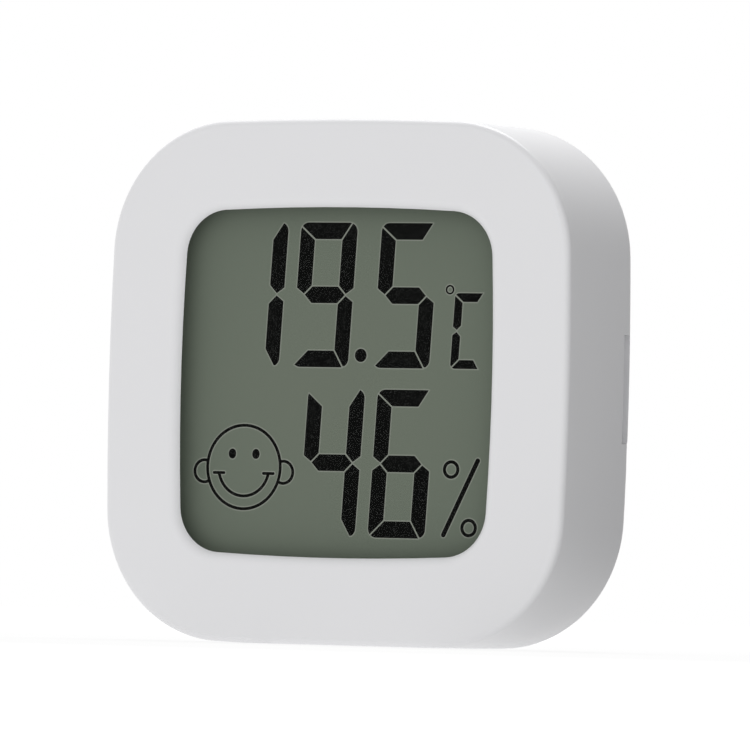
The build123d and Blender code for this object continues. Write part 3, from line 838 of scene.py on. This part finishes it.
    def chip_end(self, caps: Form, joints: Form, low: Vector, high: Vector, side: int) -> None:
        """One end of a chip.

        Args:
            caps: Takes the cap.
            joints: Takes the solder.
            low: The chip's lowest corner.
            high: Its highest corner.
            side: -1 for its left end, 1 for its right one.
        """
        rise = self.cap_rise
        end = (high.x if side > 0 else low.x) + side * rise
        inner = end - side * self.cap_length
        left, right = sorted((end, inner))
        caps.block(
            Vector((left, low.y, low.z - rise)), Vector((right, high.y + rise, high.z + rise)), rise
        )
        height, reach = high.y - low.y, self.fillet_reach
        ring = [
            Vector((end + side * reach * out, low.y + height * up, low.z))
            for out, up in self.fillet_shares
        ]
        joints.loft([ring, [point + UP * (high.z - low.z) for point in ring]])

    def lead_joints(self) -> None:
        """Cones of solder round the leads of the thermistor and of the crystal."""
        form = Form()
        low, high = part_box("thermistor")
        middle = (low + high) / 2
        rows = [(middle.x, middle.z)]
        low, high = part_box("timing_crystal")
        rows.append((low.x + self.crystal_inset, (low.z + high.z) / 2))
        profile = [(self.joint_radius * out, self.joint_height * up) for out, up in self.joint_shares]
        for x, z in rows:
            for side in (-1, 1):
                form.turned(Vector((x, self.high.y, z + side * self.lead_pitch / 2)), BACK, profile)
        form.piece("lead_solder", Body.CASE, Slot.STEEL, SOLDER)

    def sensor_detail(self) -> None:
        """The membrane in the opening of the humidity sensor and the terminals along its sides."""
        low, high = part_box("humidity_sensor")
        middle = Vector(((low.x + high.x) / 2, high.y, (low.z + high.z) / 2))
        radius, thickness = self.membrane_radius, self.membrane_thickness
        profile = [(radius, 0.0), (radius, thickness), (0.5 * radius, 1.3 * thickness)]
        form = Form()
        form.turned(middle - BACK * self.membrane_depth, BACK, profile)
        form.piece("sensor_membrane", Body.CASE, Slot.SENSOR, MEMBRANE)
        form = Form()
        half, top = self.terminal_width / 2, low.y + self.terminal_height_share * (high.y - low.y)
        for side, edge in ((-1, low.x), (1, high.x)):
            left, right = sorted((edge - side * self.terminal_sink, edge + side * self.terminal_reach))
            for step in (-1.5, -0.5, 0.5, 1.5):
                z = middle.z + step * self.terminal_pitch
                foot, head = Vector((left, low.y, z - half)), Vector((right, top, z + half))
                form.block(foot, head, self.terminal_edge)
        form.piece("sensor_terminals", Body.CASE, Slot.STEEL, SOLDER)


@dataclass
class PowerCell:
    """The coin cell in its holder, with the contacts that touch it."""

    gasket_width: float = 0.35 * MM
    gasket_inset: float = 0.9 * MM
    gasket_sink: float = 0.1 * MM
    gasket_rise: float = 0.05 * MM
    face_step: float = 0.25 * MM
    mark_length: float = 3.6 * MM
    mark_width: float = 0.7 * MM
    mark_rise: float = 0.03 * MM
    mark_place: float = 5.4 * MM

    def build(self, nodes: Pieces) -> None:
        """Dresses the cell, the holder and the contacts.

        Args:
            nodes: The frame's pieces by name.
        """
        low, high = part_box("coin_cell")
        middle = (low + high) / 2
        dress(nodes["coin_cell"], TurnedMetal("turned_cell", (0.72, 0.72, 0.70), tuple(middle)))
        dress(nodes["battery_holder"], BLACK_PLASTIC)
        dress(nodes["negative_contact"], SPRING_METAL)
        dress(nodes["positive_contact"], SPRING_METAL)
        self.gasket(low, high)
        self.plus(Vector((middle.x, high.y, middle.z + self.mark_place)))

    def gasket(self, low: Vector, high: Vector) -> None:
        """The dark ring that parts the two poles, on the front of the cell."""
        form = Form()
        sink, rise = self.gasket_sink, self.gasket_rise
        outer = (high.x - low.x) / 2 - self.gasket_inset
        bore, middle = outer - self.gasket_width, (low + high) / 2
        angles = [2.0 * math.pi * turn / 64 for turn in range(64)]
        spokes = [RIGHT * math.cos(angle) + UP * math.sin(angle) for angle in angles]
        foot = Vector((middle.x, low.y + self.face_step, middle.z))
        corners = ((bore, sink), (outer, sink), (outer, 0.0), (bore, -rise))
        form.loft([[foot + s * r + BACK * y for s in spokes] for r, y in corners], round_again=True)
        form.piece("cell_gasket", Body.CELL, Slot.RESIN, BLACK_PLASTIC)

    def plus(self, middle: Vector) -> None:
        """The plain plus sign stamped on the back of the cell."""
        form = Form()
        arm, half = self.mark_length / 2, self.mark_width / 2
        corner = [(half, half), (arm, half), (arm, -half)]
        outline = []
        for turn in range(4):
            spin = Matrix.Rotation(-turn * math.pi / 2, 2)
            outline += [spin @ Vector(point) for point in corner]
        base = middle - BACK * self.mark_rise
        ring = [base + RIGHT * point.x + UP * point.y for point in outline]
        form.loft([ring, [point + 2.0 * BACK * self.mark_rise for point in ring]])
        form.piece("plus_mark", Body.CELL, Slot.CELL, STEEL)


@dataclass
class PushSwitch:
    """The push switch under the button."""

    plate_thickness: float = 0.08 * MM
    plate_margin: float = 0.45 * MM
    plate_bore: float = 1.4 * MM
    plate_steps: int = 32
    rivet_radius: float = 0.28 * MM
    rivet_height: float = 0.12 * MM
    rivet_shares: tuple[Pair, ...] = ((1.0, 0.0), (1.0, 0.4), (0.7, 0.85), (0.3, 1.0))
    rivet_inset_share: float = 1.3
    lead_width: float = 0.7 * MM
    lead_thickness: float = 0.16 * MM
    lead_reach: float = 0.9 * MM
    lead_height: float = 0.9 * MM
    lead_sink: float = 0.05 * MM
    lead_place_share: float = 0.3
    bend_shares: Triple = (0.35, 0.55, 1.15)

    def build(self, nodes: Pieces) -> None:
        """Dresses the switch and adds its cover plate and leads.

        Args:
            nodes: The frame's pieces by name.
        """
        dress(nodes["switch_body"], BLACK_PLASTIC)
        dress(nodes["switch_plunger"], PLUNGER_CREAM)
        low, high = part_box("switch_body")
        self.plate(low, high)
        self.leads(low, high)

    def plate(self, low: Vector, high: Vector) -> None:
        """The steel plate on the back of the switch, open round the plunger, with four rivets."""
        form = Form()
        middle = Vector(((low.x + high.x) / 2, high.y, (low.z + high.z) / 2))
        half = (high.x - low.x) / 2 - self.plate_margin
        inner, outer = [], []
        for step in range(self.plate_steps):
            angle = 2.0 * math.pi * (step + 0.5) / self.plate_steps
            spoke = RIGHT * math.cos(angle) + UP * math.sin(angle)
            inner.append(middle + spoke * self.plate_bore)
            outer.append(middle + spoke * half / max(abs(spoke.x), abs(spoke.z)))
        lift = BACK * self.plate_thickness
        rings = [inner, outer, [p + lift for p in outer], [p + lift for p in inner]]
        form.loft(rings, round_again=True)
        profile = [(self.rivet_radius * out, self.rivet_height * up) for out, up in self.rivet_shares]
        reach = half - self.rivet_inset_share * self.rivet_radius
        for across in (-1, 1):
            for along in (-1, 1):
                form.turned(middle + RIGHT * across * reach + UP * along * reach + lift, BACK, profile, 16)
        form.piece("switch_plate", Body.CASE, Slot.STEEL, STEEL)

    def leads(self, low: Vector, high: Vector) -> None:
        """Two bent leads on each side of the switch, with their feet on the board."""
        form = Form()
        start, foot = low.y + self.lead_height, low.y + self.lead_thickness / 2
        for side, edge in ((-1, low.x), (1, high.x)):
            first, second, end = (edge + side * share * self.lead_reach for share in self.bend_shares)
            for step in (-1, 1):
                offset = step * self.lead_place_share * (high.z - low.z)
                z = (low.z + high.z) / 2 + offset - self.lead_width / 2
                route = [
                    Vector((edge - side * self.lead_sink, start, z)),
                    Vector((first, start, z)),
                    Vector((second, foot, z)),
                    Vector((end, foot, z)),
                ]
                form.strip(route, self.lead_thickness, UP * self.lead_width)
        form.piece("switch_leads", Body.CASE, Slot.STEEL, STEEL)


@dataclass
class Studio:
    """The floor, the lamp, the surroundings and the camera."""

    level: float = 0.845
    dark_share: float = 0.95
    dark_right: Pair = (-0.03, 0.08)
    dark_behind: Pair = (-0.30, -0.14)
    floor_half: float = 2.0
    floor_tone: float = 0.14
    floor_glow: float = 0.82
    glow_right: Pair = (0.008, 0.038)
    glow_behind: Pair = (-0.02, 0.0)
    floor_lift: float = 0.84
    far_start: float = 0.10
    far_stop: float = 0.30
    lamp_place: Triple = (-0.10, 0.32, 0.74)
    lamp_size: float = 0.45
    lamp_power: float = 3.9
    azimuth: float = 28.996
    elevation: float = -1.248
    roll: float = 1.518
    distance: float = 863.14 * MM
    aside: float = -3.311 * MM
    above: float = 0.603 * MM
    focal_pixels: float = 10596.0
    frame_pixels: float = 750.0
    sensor: float = 36.0

    def build(self) -> None:
        """Sets the surroundings, the floor, the lamp and the camera."""
        bpy.context.scene.view_settings.view_transform = "Standard"
        self.surround()
        self.floor()
        self.lamp()
        self.camera()

    def lit(self, sheet: Sheet, place: Socket, level: float, right: Pair, behind: Pair) -> Socket:
        """A level of light that drops in the corner behind the case on its right.

        Args:
            sheet: The tree that takes the nodes.
            place: A place or a direction.
            level: The light elsewhere.
            right: Where the drop begins and ends towards the right.
            behind: Where it begins and ends towards the back.

        Returns:
            The level as a socket.
        """
        axes = sheet.add("ShaderNodeSeparateXYZ", {0: place}).outputs
        across = sheet.span(axes["X"], 0.0, self.dark_share, *right)
        away = sheet.span(axes["Y"], 0.0, 1.0, *behind)
        light = sheet.reckon("SUBTRACT", 1.0, sheet.reckon("MULTIPLY", across, away))
        return sheet.reckon("MULTIPLY", light, level)

    def surround(self) -> None:
        """A pale world with a dark corner, seen as white by camera, gloss and glass."""
        world = bpy.data.worlds.new("surroundings")
        bpy.context.scene.world = world
        sheet = Sheet(world)
        towards = sheet.add("ShaderNodeTexCoord").outputs["Generated"]
        level = self.lit(sheet, towards, self.level, self.dark_right, self.dark_behind)
        light = sheet.add("ShaderNodeBackground", {"Color": (1.0, 1.0, 1.0), "Strength": level})
        white = sheet.add("ShaderNodeBackground", {"Color": (1.0, 1.0, 1.0)})
        shares = {0: sheet.seen(), 1: light.outputs[0], 2: white.outputs[0]}
        sheet.close(sheet.add("ShaderNodeMixShader", shares))

    def floor(self) -> None:
        """A pale floor lit from below like a light table, with a soft shadow under the case."""
        half = self.floor_half
        mesh = bpy.data.meshes.new("floor")
        corners = [(-half, -half, 0.0), (half, -half, 0.0), (half, half, 0.0), (-half, half, 0.0)]
        mesh.from_pydata(corners, [], [(0, 1, 2, 3)])
        floor = bpy.data.objects.new("floor", mesh)
        bpy.context.scene.collection.objects.link(floor)
        sheet = Sheet(bpy.data.materials.new("pale_floor"))
        place = sheet.place()
        out = sheet.add("ShaderNodeVectorMath", {0: place}, operation="LENGTH").outputs["Value"]
        lift = sheet.span(out, self.floor_lift, 1.0, self.far_start, self.far_stop)
        table = self.lit(sheet, place, self.floor_glow, self.glow_right, self.glow_behind)
        strength = sheet.add("ShaderNodeMix", {0: sheet.seen(), 2: table, 3: lift}).outputs[0]
        tone = (self.floor_tone, self.floor_tone, self.floor_tone)
        plain = sheet.add("ShaderNodeBsdfDiffuse", {"Color": tone})
        glow = sheet.add("ShaderNodeEmission", {"Color": (1.0, 1.0, 1.0), "Strength": strength})
        layers = {0: plain.outputs[0], 1: glow.outputs[0]}
        mesh.materials.append(sheet.close(sheet.add("ShaderNodeAddShader", layers)))

    def lamp(self) -> None:
        """A square lamp above and behind the case, which it faces."""
        data = bpy.data.lights.new("rear_lamp", "AREA")
        data.size = self.lamp_size
        data.energy = self.lamp_power
        lamp = bpy.data.objects.new("rear_lamp", data)
        low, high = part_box("front_housing")
        place = Vector(self.lamp_place)
        lamp.location = place
        lamp.rotation_euler = ((low + high) / 2 - place).to_track_quat("-Z", "Y").to_euler()
        bpy.context.scene.collection.objects.link(lamp)

    def camera(self) -> None:
        """The camera, where the photographed outline of the case puts it."""
        low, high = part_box("front_housing")
        face = Vector((0.0, low.y, high.z - (high.x - low.x) / 2))
        azimuth, elevation, roll = map(math.radians, (self.azimuth, self.elevation, self.roll))
        flat = RIGHT * math.sin(azimuth) - BACK * math.cos(azimuth)
        towards = flat * math.cos(elevation) + UP * math.sin(elevation)
        level = UP.cross(towards).normalized()
        upright = towards.cross(level)
        right = level * math.cos(roll) + upright * math.sin(roll)
        up = upright * math.cos(roll) - level * math.sin(roll)
        data = bpy.data.cameras.new("camera")
        data.sensor_width = self.sensor
        data.lens = self.focal_pixels * self.sensor / self.frame_pixels
        camera = bpy.data.objects.new("camera", data)
        place = face + towards * self.distance - right * self.aside + up * self.above
        turn = Matrix((right, up, towards)).transposed().to_4x4()
        camera.matrix_world = Matrix.Translation(place) @ turn
        bpy.context.scene.collection.objects.link(camera)
        bpy.context.scene.camera = camera


def main() -> None:
    """Loads the frame, dresses each sub-assembly in turn and sets the studio."""
    logging.basicConfig(level=logging.INFO, format="%(name)s: %(message)s")
    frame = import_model()
    for part in (Shell(), Display(), Board(), PowerCell(), PushSwitch()):
        part.build(frame["nodes"])
    Studio().build()


if __name__ == "__main__":
    main()
